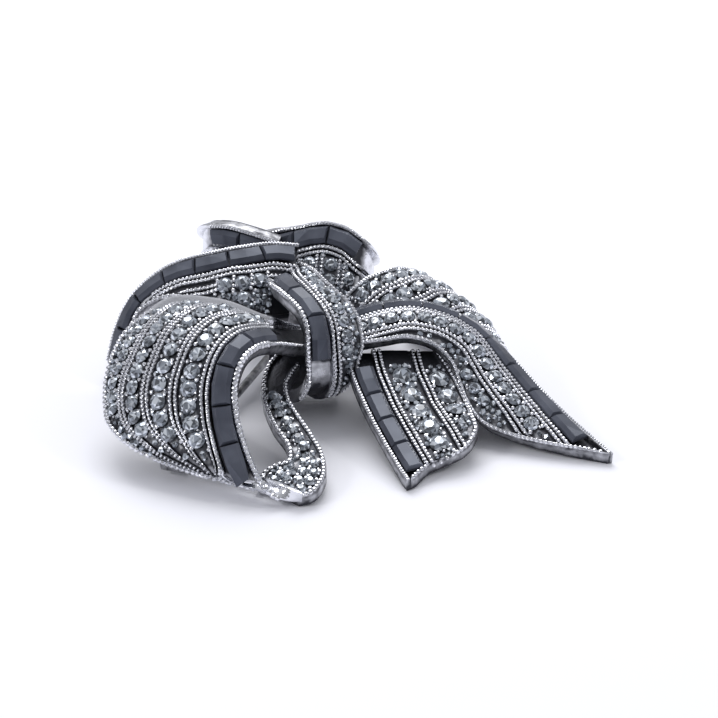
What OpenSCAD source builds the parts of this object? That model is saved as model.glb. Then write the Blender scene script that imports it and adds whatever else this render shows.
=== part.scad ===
// Ribbon bow brooch, lying pin side down.
// Millimetres. +X runs along the long tail, +Y away from the viewer, +Z up from the table.

/* [Metal] */
// Thickness of the cast ribbons
wall = 1.3; // [0.9:0.1:1.8]
// Width of the raised rim along a ribbon's edge
rim_width = 0.65; // [0.4:0.05:1]
// Height of the rims and of the ridges between the rows
rim_height = 0.45; // [0.2:0.05:0.8]
// Half width of a double ridge line with its groove
line_half = 0.65; // [0.5:0.05:0.9]
// Depth of the groove inside a double line
groove_depth = 0.25; // [0.1:0.05:0.5]
// Clear gap that separate pieces keep
piece_gap = 0.08; // [0.05:0.01:0.2]

/* [Stones] */
// Width of the channel that holds the baguettes, with its inner ridge
channel_width = 4.1; // [3.6:0.1:4.8]
// Depth of the channel floor below the ribbon's face
channel_depth = 0.5; // [0.3:0.05:0.7]
// Width of a baguette
baguette_width = 2.4; // [2.2:0.05:3]
// Height of a baguette's table above the ribbon's face
baguette_height = 0.85; // [0.7:0.05:1.3]
// Width of the bevels along a baguette's long sides
baguette_bevel = 0.5; // [0.3:0.05:0.8]
// Width of the bevels at a baguette's two ends
end_bevel = 0.2; // [0.1:0.05:0.5]
// Gap between two baguettes in a row
baguette_gap = 0.18; // [0.1:0.02:0.5]
// Distance between the rows of round stones
row_pitch = 4.1; // [3.6:0.1:5]
// Radius of a round stone
stone_radius = 0.98; // [0.8:0.02:1.2]
// Distance between round stones along a row
stone_pitch = 2.2; // [2:0.05:2.6]
// Height of a round stone above the ribbon's face
stone_height = 0.8; // [0.5:0.05:1.1]

/* [Pin] */
// Radius of the pin stem
stem_radius = 0.55; // [0.4:0.05:0.8]
// Length of the stem from its hinge to its point
stem_length = 43.5; // [34:0.5:44]
// Height of the stem's axis above the table
stem_height = 1.9; // [1.6:0.1:2.6]
// Radius of the hinge rivet
rivet_radius = 0.45; // [0.3:0.05:0.6]
// Running gap between the rivet and the stem's eye
rivet_gap = 0.05; // [0.02:0.01:0.08]
// Radius of the stem's eye and of the hinge ears
eye_radius = 1.3; // [1:0.05:1.5]
// Width of the stem's eye
eye_width = 1.9; // [1.5:0.1:2.4]
// Thickness of a hinge ear
ear_thickness = 0.9; // [0.6:0.1:1.2]

/* [Hidden] */
// Moves the middle of the knot to its place over the middle of the footprint
knot_place = [-4.2, -0.3, 0];
// Sections between two rows of a table, and how far a slope runs out
steps = 2;
slope = 0.12;
// How high a stone's base stands clear of its seat
seat_gap = 0.1;
// Step along a ribbon when its heading is measured
small = 0.02;
// Share of a round stone's radius that its table takes
table_share = 0.6;
// Height of a baguette's base above the face, and where its bevel starts, as a share of its height
baguette_seat = 0.05;
girdle_share = 0.45;
// Sections between two ridges of the fluted loop, and the radius of the stones between them
fan_step = 4;
fan_stone = 0.85;
// Radius of the stones of the short tail, and distances between lines on the two tails and the right loop
large_stone = 1.2;
short_pitch = 5;
long_pitch = 3.4;
right_pitch = 3.67;
// How many double lines the right loop has
right_lines = 4;

silver = [0.66, 0.67, 0.7];
jet = [0.12, 0.13, 0.16];
grey_stone = [0.42, 0.46, 0.52];

// Columns of every ribbon table: the leading edge's x, y and z, the trailing edge's x, y and z,
// and how far the face bulges between them. A row is a section, from the knot outwards.
front_loop_rows = [
    [1.2, 0.8, 7.6, -2.4, 3.4, 10.2, 0.0],
    [-2.1, -4.0, 10.4, -7.2, -1.2, 13.0, 0.3],
    [-5.2, -9.4, 13.5, -13.2, 0.3, 15.0, 1.0],
    [-7.6, -12.8, 14.8, -20.0, 1.0, 14.8, 1.8],
    [-9.3, -15.7, 14.3, -24.8, -2.0, 12.0, 2.4],
    [-10.1, -17.8, 12.0, -26.9, -6.3, 9.2, 2.6],
    [-9.9, -19.8, 9.4, -27.3, -10.2, 6.6, 2.6],
    [-9.2, -21.6, 7.0, -26.5, -14.4, 4.9, 2.2],
    [-8.2, -23.7, 5.0, -23.2, -18.4, 3.9, 1.6],
    [-6.9, -25.4, 3.2, -16.9, -21.8, 2.9, 0.9],
    [-5.2, -26.6, 1.9, -9.4, -23.6, 1.7, 0.3],
    [-3.6, -27.0, 1.2, -5.6, -24.7, 1.1, 0.1],
    [-2.6, -27.1, 1.0, -4.9, -24.1, 1.0, 0.0]];

front_return_rows = [
    [-1.75, -26.8, 2.4, -6.55, -21.9, 2.4, 0.0],
    [-1.0, -26.6, 2.35, -6.3, -21.4, 2.5, 0.0],
    [0.1, -25.6, 2.3, -5.6, -20.8, 2.6, 0.0],
    [1.0, -22.8, 2.5, -4.0, -20.0, 2.8, 0.0],
    [0.6, -19.0, 3.3, -4.1, -17.6, 3.6, 0.0],
    [-1.0, -15.2, 4.3, -5.8, -14.5, 4.6, 0.0],
    [-2.5, -12.4, 5.3, -7.2, -10.6, 5.7, 0.0],
    [-3.7, -10.0, 6.1, -7.5, -6.8, 6.6, 0.0],
    [-4.0, -7.0, 6.9, -6.8, -3.0, 7.6, 0.0],
    [-2.6, -3.4, 7.6, -5.2, -0.5, 8.4, 0.0]];

left_loop_rows = [
    [-3.0, 15.4, 16.4, -4.2, 6.0, 11.8, 0.3],
    [-6.8, 15.0, 16.8, -7.4, 5.0, 11.6, 0.6],
    [-10.8, 13.6, 16.9, -11.6, 5.0, 11.4, 0.6],
    [-14.8, 13.2, 16.2, -15.4, 6.6, 11.6, 0.4],
    [-18.8, 13.5, 14.9, -18.8, 7.8, 12.0, 0.2],
    [-22.1, 13.5, 12.9, -21.6, 8.5, 11.2, 0.1],
    [-25.4, 12.8, 9.8, -24.0, 8.5, 9.4, 0.1],
    [-27.5, 11.0, 6.0, -25.2, 7.4, 6.4, 0.1],
    [-28.6, 8.8, 2.2, -26.0, 5.4, 2.8, 0.0]];

back_left_rows = [
    [-5.6, 17.0, 16.4, -5.4, 17.4, 6.2, 0.0],
    [-7.2, 17.3, 16.8, -7.0, 17.8, 5.4, 0.0],
    [-9.6, 18.3, 17.2, -9.7, 18.8, 4.8, 0.0],
    [-12.3, 19.6, 17.4, -12.7, 20.0, 4.4, 0.0],
    [-14.6, 20.9, 17.0, -15.1, 21.4, 4.0, 0.0],
    [-16.2, 22.3, 16.2, -16.7, 22.9, 3.4, 0.0],
    [-16.7, 24.2, 14.6, -17.1, 24.8, 2.2, 0.0],
    [-15.4, 26.1, 12.4, -15.6, 26.7, 1.0, 0.0],
    [-12.0, 27.0, 10.4, -12.0, 27.4, 0.15, 0.0],
    [-8.0, 26.8, 9.2, -8.0, 27.2, 0.05, 0.0]];

back_right_rows = [
    [-8.8, 21.8, 15.0, -7.8, 21.2, 8.6, 0.1],
    [-6.1, 20.8, 16.2, -5.4, 19.6, 9.4, 0.2],
    [-2.9, 20.0, 17.1, -2.9, 14.6, 10.4, 0.3],
    [0.5, 19.3, 18.0, -0.4, 12.2, 10.6, 0.2],
    [3.5, 18.8, 17.4, 1.9, 12.0, 10.2, 0.2],
    [5.8, 18.4, 15.8, 3.9, 13.6, 8.8, 0.4],
    [7.2, 19.6, 13.6, 5.8, 16.8, 6.6, 0.6],
    [7.4, 22.0, 11.0, 6.8, 20.4, 4.2, 0.5],
    [5.8, 24.6, 9.6, 6.2, 24.2, 1.6, 0.3],
    [2.4, 26.2, 9.0, 2.8, 26.6, 0.2, 0.0],
    [-2.0, 26.6, 8.8, -2.0, 27.0, 0.08, 0.0]];

right_loop_rows = [
    [1.2, 9.8, 8.4, 2.8, 8.0, 8.0, 0.0],
    [3.6, 11.3, 11.0, 10.1, 5.6, 9.3, 0.4],
    [5.8, 12.6, 12.5, 17.5, 4.3, 8.3, 1.0],
    [8.5, 14.0, 13.0, 22.0, 4.6, 7.2, 1.35],
    [11.0, 16.2, 12.2, 24.0, 6.2, 5.4, 1.45],
    [12.8, 18.8, 9.4, 24.7, 8.6, 3.4, 1.3],
    [13.2, 20.4, 5.4, 23.6, 10.2, 1.5, 0.8],
    [12.0, 20.4, 1.6, 21.2, 11.0, 0.3, 0.3]];

long_tail_rows = [
    [1.0, 5.6, 9.2, 2.0, -0.8, 8.8, 0.4],
    [4.2, 6.4, 10.4, 5.2, -1.6, 9.8, 0.9],
    [7.9, 6.5, 11.5, 8.5, -2.0, 10.5, 1.2],
    [12.1, 6.8, 11.5, 11.5, -2.0, 10.9, 1.4],
    [16.8, 6.6, 10.3, 14.6, -2.2, 10.0, 1.6],
    [20.9, 5.2, 8.6, 17.0, -3.6, 8.1, 1.8],
    [23.6, 3.0, 7.0, 18.0, -5.6, 6.2, 1.8],
    [26.2, 0.0, 5.6, 19.1, -8.3, 4.4, 1.6],
    [29.1, -3.9, 3.9, 20.9, -10.6, 3.0, 1.5],
    [32.1, -8.0, 2.6, 24.9, -12.3, 2.0, 1.0],
    [34.8, -11.8, 1.8, 29.8, -13.9, 1.6, 0.45],
    [36.5, -14.1, 1.5, 34.2, -15.0, 1.4, 0.0],
    [37.4, -15.5, 1.3, 36.8, -15.8, 1.3, 0.0]];

short_tail_rows = [
    [3.2, -0.4, 8.4, 15.4, -0.2, 8.2, 0.2],
    [4.0, -4.8, 6.9, 17.6, -4.2, 6.4, 0.2],
    [5.2, -8.4, 5.4, 19.2, -8.0, 4.6, 0.1],
    [6.6, -12.2, 4.1, 19.9, -11.4, 4.4, 0.0],
    [8.1, -15.8, 2.9, 20.2, -14.0, 3.8, 0.0],
    [9.6, -19.4, 1.9, 18.4, -17.0, 2.7, 0.0],
    [10.6, -21.8, 1.4, 14.0, -19.4, 1.8, 0.0],
    [11.0, -22.8, 1.4, 11.8, -22.2, 1.4, 0.0]];

knot_rows = [
    [-7.0, 8.6, 13.8, -2.6, 14.0, 14.2, 0.0],
    [-6.4, 4.4, 15.2, -0.9, 9.9, 15.2, 0.2],
    [-4.9, 0.8, 15.7, 1.3, 5.3, 15.0, 0.4],
    [-2.8, -2.9, 15.3, 3.9, 2.3, 13.8, 0.5],
    [-1.9, -4.9, 13.7, 5.2, -0.5, 12.4, 0.6],
    [-1.8, -5.5, 11.3, 5.6, -1.9, 10.3, 0.6],
    [-1.7, -5.7, 8.9, 5.1, -2.8, 8.4, 0.6],
    [-1.8, -5.4, 6.2, 4.7, -3.2, 6.2, 0.5],
    [-2.8, -4.3, 3.7, 2.8, -2.8, 4.0, 0.4],
    [-4.4, -1.8, 2.0, 2.4, -0.5, 2.4, 0.2],
    [-6.2, 2.0, 1.6, 2.6, 2.6, 1.9, 0.0],
    [-6.8, 5.0, 3.4, 2.6, 5.4, 3.6, 0.0],
    [-6.8, 5.8, 6.8, 2.4, 6.0, 7.0, 0.0]];

// Which side of a table is the decorated face: 1 or -1
front_side = 1;
return_side = -1;
left_side = -1;
back_left_side = -1;
back_right_side = 1;
right_side = 1;
long_side = 1;
short_side = -1;
knot_side = -1;

// Columns of a stone table: distance from the leading edge, the places along the ribbon where
// the line starts and ends, and the stones' radius.
row_1 = channel_width + row_pitch / 2;
row_2 = row_1 + row_pitch;
row_3 = row_2 + row_pitch;
row_4 = row_3 + row_pitch;
// Where the front loop's lines start to run together, and how wide they are before that
fold_from = 5;
front_reach = row_4 + 0.8;
front_stones = [[row_1, 1.3, 7.8, stone_radius], [row_2, 2.0, 7.6, stone_radius],
                [row_3, 2.7, 7.4, 0.96 * stone_radius], [row_4 - 0.2, 3.6, 6.6, 0.86 * stone_radius]];
return_stones = [[1.5, 0.7, 3.5, 0.66 * stone_radius], [2.9, 1.2, 3.4, 0.66 * stone_radius],
                 [4.2, 0.5, 2.6, 0.66 * stone_radius], [5.6, 1.0, 2.0, 0.66 * stone_radius],
                 [2.05, 3.9, 6.9, 0.76 * stone_radius]];
left_stones = [[row_1 - 0.15, 1.0, 2.6, stone_radius], [row_1 + 2, 1.4, 2.0, 0.9 * stone_radius]];
right_stones = [[0.6 * right_pitch, 0.9, 6.4, 0.9 * stone_radius], [1.5 * right_pitch, 1.3, 6.4, stone_radius],
                [2.5 * right_pitch, 2.5, 6.3, stone_radius], [3.5 * right_pitch, 2.95, 5.4, stone_radius]];
long_stones = [[channel_width + long_pitch / 2, 0.9, 9.2, 0.93 * stone_radius],
               [channel_width + 1.5 * long_pitch + 0.05, 5.6, 7.7, 0.78 * stone_radius]];
short_stones = [[channel_width + short_pitch / 2, 0.7, 4.9, large_stone],
                [channel_width + 1.4 * short_pitch, 0.8, 2.9, large_stone]];
knot_stones = [[channel_width + 1.6, 1.4, 5.7, 0.82 * stone_radius]];
// Columns of the fan on the back right loop: the place along the loop, then the first and the
// last distance from its leading edge.
fan_columns = [[2.5, 5.8, 7.9], [3.5, 6.0, 8.2], [4.5, 6.0, 6.0]];

// Where the pin turns, and the way its stem points
pin_place = [-17.7, -18.6, 0];
pin_way = 70;
ear_gap = 0.1;
ear_reach = eye_width / 2 + ear_gap + ear_thickness;
rivet_head = 0.3;
plate_floor = stem_height + eye_radius + 0.15;
plate_height = 0.8;
plate_length = 4;
root_radius = 0.8;
root_length = 3;
point_length = 5.5;
point_radius = 0.08;
catch_at = stem_length - 2.5;
catch_length = 2;
catch_half = 1.55;
catch_slot = 0.8;
catch_foot = 0.8;
catch_roof = stem_height + 0.85;
catch_top = 6.4;

// Vectors and tables
function unit(v) = v / norm(v);
function lead(r) = [r[0], r[1], r[2]];
function trail(r) = [r[3], r[4], r[5]];
function last(t) = len(t) - 1;

// The table's row at any place s, smoothed between its rows
function row_at(t, s) =
    let (i = max(0, min(last(t) - 1, floor(s))), f = s - i,
         a = t[max(0, i - 1)], b = t[i], c = t[i + 1], d = t[min(last(t), i + 2)])
    0.5 * (2 * b + (c - a) * f + (2 * a - 5 * b + 4 * c - d) * f * f + (3 * b - a - 3 * c + d) * f * f * f);

// The way the leading edge runs at s
function heading(t, s) =
    unit(lead(row_at(t, min(last(t), s + small))) - lead(row_at(t, max(0, s - small))));

// A section is an arc over its chord: chord length, half angle in degrees, radius, arc length
function arc_of(r) =
    let (w = norm(trail(r) - lead(r)), half = 2 * atan(2 * max(r[6], w / 1000) / w), radius = w / (2 * sin(half)))
    [w, half, radius, radius * half * PI / 90];

// Sections that run aslant are stretched, so that distances are square to the leading edge
function slant(t, s) =
    let (r = row_at(t, s))
    max(0.66, norm(cross(unit(trail(r) - lead(r)), heading(t, s))));

// The width of the face at s, and a point d from its leading edge and h above it
function width_at(t, s) = arc_of(row_at(t, s))[3] * slant(t, s);

function face_point(t, side, s, d, h = 0) =
    let (r = row_at(t, s), arc = arc_of(r), chord = unit(trail(r) - lead(r)),
         out = side * unit(cross(chord, heading(t, s))),
         turn = arc[1] * (2 * d / arc[3] / slant(t, s) - 1))
    lead(r) + chord * (arc[0] / 2 + (arc[2] + h) * sin(turn))
    + out * ((arc[2] + h) * cos(turn) - arc[2] * cos(arc[1]));

// Near the fold of the front loop its lines run together: everything beyond the channel is drawn in
function drawn_in(t, s, d, reach) =
    reach == 0 || s < fold_from || d <= channel_width ? d
    : channel_width + (d - channel_width)
        * min(1, max(0.02, (width_at(t, s) - rim_width - 2 * slope - channel_width) / (reach - channel_width)));

// Point, normal, and the ways along and across the ribbon there
function face_frame(t, side, s, d) =
    let (p = face_point(t, side, s, d),
         u = unit(face_point(t, side, s + small, d) - face_point(t, side, s - small, d)),
         v = unit(face_point(t, side, s, d + small) - face_point(t, side, s, d - small)),
         n = side * unit(cross(v, u)))
    [p, n, u, cross(n, u) * side];

// Marks across a ribbon: distance from the leading edge, and height above the face
channel_marks = [
    [0, rim_height], [rim_width, rim_height],
    [rim_width + slope, -channel_depth], [channel_width - rim_width - slope, -channel_depth],
    [channel_width - rim_width, rim_height], [channel_width - slope, rim_height],
    [channel_width + slope, -groove_depth], [channel_width + line_half / 2, rim_height],
    [channel_width + line_half, 0]];

rim_marks = [[0, rim_height], [rim_width, rim_height], [rim_width + slope, 0]];

function line_marks(d) = [
    [d - line_half, 0], [d - line_half / 2, rim_height], [d, -groove_depth],
    [d + line_half / 2, rim_height], [d + line_half, 0]];

function channel_and_rows(lines, pitch = row_pitch) =
    concat(channel_marks, [for (k = [1 : 1 : lines]) each line_marks(channel_width + k * pitch)]);

// The marks that fit a section of width w; the others lie in its trailing rim
function fitted(marks, w, grow) =
    let (rim = min(rim_width, w / 4),
         room = w - rim - 2 * slope,
         kept = [for (i = [1 : len(marks) - 1]) if (marks[i][0] < room) marks[i]],
         rest = len(marks) - 1 - len(kept))
    concat([[-grow, rim_height + grow]],
           [for (m = kept) m + [0, grow]],
           [[w - rim - slope * rim / rim_width, grow]],
           [for (i = [0 : 1 : rest]) [w - rim + rim * 0.8 * i / (rest + 1), rim_height + grow]],
           [[w + grow, rim_height + grow]]);

under_marks = [1, 0.75, 0.5, 0.25, 0];

// Cross ridges raise only the open face between the channel and the trailing rim
function on_open_face(m, w) = m[0] > channel_width + line_half - slope && m[0] < w - rim_width - slope;

function section(t, side, marks, s, grow, ridge) =
    let (w = width_at(t, s),
         end = s <= 0 ? -grow : s >= last(t) ? grow : 0,
         shift = heading(t, s) * end)
    concat([for (m = fitted(marks, w, grow))
               face_point(t, side, s, m[0], m[1] + (on_open_face(m, w) ? ridge : 0)) + shift],
           [for (f = under_marks)
               face_point(t, side, s, f * w + (2 * f - 1) * grow, -wall - grow) + shift]);

// A closed ribbon of metal swept along a table
module ribbon(t, side, marks, grow = 0, fan = 0, reach = 0) {
    count = last(t) * steps * (fan > 0 ? 2 : 1);
    rings = [for (i = [0 : count])
        let (s = i * last(t) / count, drawn = [for (m = marks) [drawn_in(t, s, m[0], reach), m[1]]])
        section(t, side, drawn, s, grow, fan > 0 && i % fan == 0 ? rim_height : 0)];
    m = len(rings[0]);
    walls = [for (i = [0 : count - 1], j = [0 : m - 1])
        let (a = i * m + j, b = i * m + (j + 1) % m, c = b + m, d = a + m)
        each side > 0 ? [[a, d, c], [a, c, b]] : [[a, c, d], [a, b, c]]];
    near = [for (j = [0 : m - 1]) j];
    far = [for (j = [0 : m - 1]) count * m + j];
    function turned(ring) = [for (j = [m - 1 : -1 : 0]) ring[j]];
    ends = side > 0 ? [near, turned(far)] : [turned(near), far];
    polyhedron([for (r = rings, p = r) p], concat(walls, ends), convexity = 8);
}

// Lengths along the line at distance d from the leading edge, with s beside each
function lengths(t, side, d, from, to, reach = 0, count = 40) =
    let (p = [for (i = [0 : count])
             let (s = from + (to - from) * i / count) face_point(t, side, s, drawn_in(t, s, d, reach))])
    [for (i = 0, run = 0; i <= count; run = run + (i < count ? norm(p[i + 1] - p[i]) : 0), i = i + 1)
        [run, from + (to - from) * i / count]];

// Equal places along such a line: n + 1 marks for n stones
function shared_out(t, side, d, from, to, n, reach = 0) =
    let (table = lengths(t, side, d, from, to, reach), total = table[len(table) - 1][0])
    [for (i = [0 : n]) lookup(total * i / n, table)];

// One round stone: an octagon base, eight facets and a table
module round_stone(frame, r) {
    base = [for (i = [0 : 7])
        frame[0] + frame[1] * seat_gap + r * (cos(45 * i + 22.5) * frame[2] + sin(45 * i + 22.5) * frame[3])];
    top = [for (i = [0 : 7])
        frame[0] + frame[1] * stone_height
        + table_share * r * (cos(45 * i + 22.5) * frame[2] + sin(45 * i + 22.5) * frame[3])];
    hand = cross(frame[2], frame[3]) * frame[1];
    rings = [[for (i = [0 : 7]) i], [for (i = [7 : -1 : 0]) i + 8]];
    sides = [for (i = [0 : 7]) [i, i + 8, (i + 1) % 8 + 8, (i + 1) % 8]];
    polyhedron(concat(base, top), [for (f = concat(rings, sides)) hand > 0 ? f : reversed(f)]);
}
function reversed(f) = [for (i = [len(f) - 1 : -1 : 0]) f[i]];

// A line of round stones
module stone_line(t, side, line, reach) {
    table = lengths(t, side, line[0], line[1], line[2], reach);
    n = floor(table[len(table) - 1][0] / (stone_pitch * line[3] / stone_radius));
    places = shared_out(t, side, line[0], line[1], line[2], 2 * n, reach);
    for (i = [0 : n - 1])
        let (s = places[2 * i + 1])
            round_stone(face_frame(t, side, s, drawn_in(t, s, line[0], reach)), line[3]);
}

// Stone number k of n in a channel, cut to follow its curve: rings of points round the seat,
// the girdle and the table, each with three points on either side
module baguette(t, side, from, to, n, k) {
    middle = channel_width / 2 - slope / 2;
    cuts = shared_out(t, side, middle, from, to, 2 * n);
    frames = [for (i = [0 : 2]) face_frame(t, side, cuts[2 * k - 2 + i], middle)];
    ends = [1, 0, -1];
    function ring(h, side_inset, end_inset) = concat(
        [for (i = [0 : 2]) frames[i][0] + frames[i][1] * h
            + frames[i][2] * ends[i] * (baguette_gap / 2 + end_inset)
            - frames[i][3] * (baguette_width / 2 - side_inset)],
        [for (i = [2 : -1 : 0]) frames[i][0] + frames[i][1] * h
            + frames[i][2] * ends[i] * (baguette_gap / 2 + end_inset)
            + frames[i][3] * (baguette_width / 2 - side_inset)]);
    seat = [[0, 1, 4], [0, 4, 5], [1, 2, 3], [1, 3, 4]];
    table = [for (f = seat) reversed(f) + [12, 12, 12]];
    sides = [for (o = [0, 6], i = [0 : 5])
        let (j = (i + 1) % 6)
        each [[o + i, o + i + 6, o + j + 6], [o + i, o + j + 6, o + j]]];
    hand = cross(frames[1][2], frames[1][3]) * frames[1][1];
    polyhedron(concat(ring(baguette_seat, 0, 0), ring(baguette_height * girdle_share, 0, 0),
                      ring(baguette_height, baguette_bevel, end_bevel)),
               [for (f = concat(seat, sides, table)) hand > 0 ? f : reversed(f)]);
}

// The metal of each piece, grown on request so that its neighbours are cut clear of it
front_marks = channel_and_rows(3);
long_marks = channel_and_rows(1, long_pitch);
short_marks = channel_and_rows(1, short_pitch);
right_marks = concat(rim_marks, [for (k = [1 : right_lines]) each line_marks(k * right_pitch)]);
plain_channel_marks = channel_and_rows(0);

module front_loop_metal(grow = 0) {
    ribbon(front_loop_rows, front_side, front_marks, grow, reach = front_reach);
}
module front_return_metal(grow = 0) { ribbon(front_return_rows, return_side, rim_marks, grow); }
module left_loop_metal(grow = 0) { ribbon(left_loop_rows, left_side, plain_channel_marks, grow); }
module back_left_metal(grow = 0) { ribbon(back_left_rows, back_left_side, plain_channel_marks, grow); }
module back_right_metal(grow = 0) {
    ribbon(back_right_rows, back_right_side, plain_channel_marks, grow, fan_step);
}
module right_loop_metal(grow = 0) { ribbon(right_loop_rows, right_side, right_marks, grow); }
module long_tail_metal(grow = 0) { ribbon(long_tail_rows, long_side, long_marks, grow); }
module short_tail_metal(grow = 0) { ribbon(short_tail_rows, short_side, short_marks, grow); }
module knot_metal(grow = 0) { ribbon(knot_rows, knot_side, plain_channel_marks, grow); }

module placed(shade) { color(shade) translate(knot_place) children(); }

module knot_band() { placed(silver) knot_metal(); }
module front_loop() {
    difference() {
        placed(silver) difference() {
            front_loop_metal();
            knot_metal(piece_gap);
        }
        on_pin_line() hinge_plate(piece_gap);
    }
}
module front_return() {
    placed(silver) difference() {
        front_return_metal();
        knot_metal(piece_gap);
    }
}

module long_tail() {
    placed(silver) difference() { long_tail_metal(); knot_metal(piece_gap); front_loop_metal(piece_gap); }
}
module left_loop() {
    placed(silver) difference() {
        left_loop_metal();
        knot_metal(piece_gap);
        front_loop_metal(piece_gap);
    }
}
module right_loop() {
    placed(silver) difference() {
        right_loop_metal();
        knot_metal(piece_gap);
        long_tail_metal(piece_gap);
    }
}
module back_right_loop() {
    placed(silver) difference() {
        back_right_metal();
        knot_metal(piece_gap);
        left_loop_metal(piece_gap);
        right_loop_metal(piece_gap);
    }
}
module back_left_loop() {
    difference() {
        placed(silver) difference() {
            back_left_metal();
            left_loop_metal(piece_gap);
            back_right_metal(piece_gap);
        }
        on_pin_line() catch_block(piece_gap);
    }
}
module short_tail() {
    placed(silver) difference() {
        short_tail_metal();
        knot_metal(piece_gap);
        long_tail_metal(piece_gap);
    }
}

module on_pin_line() { placed(silver) translate(pin_place) rotate(pin_way) children(); }

// A bar on the pin line: its first and last place along it, half width, floor and top
module pin_bar(from, to, half, floor, top) {
    translate([from, -half, floor]) cube([to - from, 2 * half, top - floor]);
}
module hinge_plate(grow = 0) {
    pin_bar(-eye_radius - grow, plate_length - eye_radius + grow, ear_reach + grow,
            plate_floor - grow, plate_floor + plate_height + grow);
}
module catch_block(grow = 0) {
    pin_bar(catch_at - catch_length / 2 - grow, catch_at + catch_length / 2 + grow, catch_half + grow,
            catch_foot - grow, catch_top + grow);
}

module pin_hinge() {
    on_pin_line() {
        hinge_plate();
        for (y = [-1, 1]) translate([0, y * (ear_reach - ear_thickness / 2), stem_height]) {
            rotate([90, 0, 0]) cylinder(h = ear_thickness, r = eye_radius, center = true, $fn = 48);
            translate([-eye_radius, -ear_thickness / 2, 0])
                cube([2 * eye_radius, ear_thickness, plate_floor - stem_height + small]);
        }
        translate([0, 0, stem_height]) rotate([90, 0, 0])
            cylinder(h = 2 * (ear_reach + rivet_head), r = rivet_radius, center = true, $fn = 48);
    }
}

module pin_stem() {
    on_pin_line() translate([0, 0, stem_height]) difference() {
        union() {
            rotate([90, 0, 0]) cylinder(h = eye_width, r = eye_radius, center = true, $fn = 48);
            rotate([0, 90, 0]) cylinder(h = root_length, r = root_radius, $fn = 48);
            rotate([0, 90, 0]) cylinder(h = stem_length - point_length, r = stem_radius, $fn = 48);
            translate([stem_length - point_length, 0, 0]) rotate([0, 90, 0])
                cylinder(h = point_length, r1 = stem_radius, r2 = point_radius, $fn = 48);
        }
        rotate([90, 0, 0])
            cylinder(h = 2 * eye_width, r = rivet_radius + rivet_gap, center = true, $fn = 48);
    }
}

module pin_catch() {
    on_pin_line() difference() {
        catch_block();
        pin_bar(catch_at - catch_length, catch_at + catch_length, catch_slot, 0, catch_roof);
    }
}

module stone_lines(t, side, lines, reach = 0) { for (line = lines) stone_line(t, side, line, reach); }

module front_loop_round_stones() {
    placed(grey_stone) stone_lines(front_loop_rows, front_side, front_stones, front_reach);
}
module front_return_round_stones() {
    placed(grey_stone) stone_lines(front_return_rows, return_side, return_stones);
}
module left_loop_round_stones() { placed(grey_stone) stone_lines(left_loop_rows, left_side, left_stones); }
module right_loop_round_stones() { placed(grey_stone) stone_lines(right_loop_rows, right_side, right_stones); }
module long_tail_round_stones() { placed(grey_stone) stone_lines(long_tail_rows, long_side, long_stones); }
module short_tail_round_stones() { placed(grey_stone) stone_lines(short_tail_rows, short_side, short_stones); }
module knot_band_round_stones() { placed(grey_stone) stone_lines(knot_rows, knot_side, knot_stones); }
module back_right_loop_round_stones() {
    placed(grey_stone) for (c = fan_columns, d = [c[1] : stone_pitch : c[2] + small])
        round_stone(face_frame(back_right_rows, back_right_side, c[0], d), fan_stone);
}

// Columns of the channel table: node name, ribbon table, side, first and last place, stones
channels = [
    ["front_loop_baguette_", front_loop_rows, front_side, 2.0, 9.4, 5],
    ["left_loop_baguette_", left_loop_rows, left_side, 0.1, 7.9, 7],
    ["back_left_loop_baguette_", back_left_rows, back_left_side, 0.9, 4.0, 2],
    ["back_right_loop_baguette_", back_right_rows, back_right_side, 0.6, 4.75, 3],
    ["long_tail_baguette_", long_tail_rows, long_side, 0.8, 10.2, 8],
    ["short_tail_baguette_", short_tail_rows, short_side, 0.75, 5.8, 4],
    ["knot_band_baguette_", knot_rows, knot_side, 0.8, 5.65, 3]];

module channel_stone(c, k) { placed(jet) baguette(c[1], c[2], c[3], c[4], c[5], k); }

front_loop();
front_return();
left_loop();
back_left_loop();
back_right_loop();
right_loop();
long_tail();
short_tail();
knot_band();
front_loop_round_stones();
front_return_round_stones();
left_loop_round_stones();
back_right_loop_round_stones();
right_loop_round_stones();
long_tail_round_stones();
short_tail_round_stones();
knot_band_round_stones();
pin_hinge();
pin_stem();
pin_catch();
for (c = channels, k = [1 : c[5]]) channel_stone(c, k);
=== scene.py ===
"""The looks of the ribbon bow brooch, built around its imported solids.

Tables and sizes are in millimetres in the maker's frame of part.scad, and every mesh is in metres.
"""

import math
import random

import bmesh
import bpy
from mathutils import Matrix, Vector, noise


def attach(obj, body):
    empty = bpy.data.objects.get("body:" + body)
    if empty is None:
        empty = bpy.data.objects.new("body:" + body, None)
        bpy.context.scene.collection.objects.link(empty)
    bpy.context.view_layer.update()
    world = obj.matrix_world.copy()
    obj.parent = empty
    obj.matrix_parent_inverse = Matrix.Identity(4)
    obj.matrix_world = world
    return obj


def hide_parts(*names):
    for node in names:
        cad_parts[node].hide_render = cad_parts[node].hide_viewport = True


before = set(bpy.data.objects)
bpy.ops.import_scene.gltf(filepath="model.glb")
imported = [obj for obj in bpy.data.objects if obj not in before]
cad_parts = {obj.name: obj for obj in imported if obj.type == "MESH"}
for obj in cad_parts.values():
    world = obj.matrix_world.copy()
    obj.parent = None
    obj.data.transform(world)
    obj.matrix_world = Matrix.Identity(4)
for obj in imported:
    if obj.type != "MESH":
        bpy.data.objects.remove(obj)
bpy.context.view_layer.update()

MM = 0.001
# Where the tables' own origin, under the knot, lies in the shared frame
KNOT_PLACE = Vector((-4.2, -0.3, 0))

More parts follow.
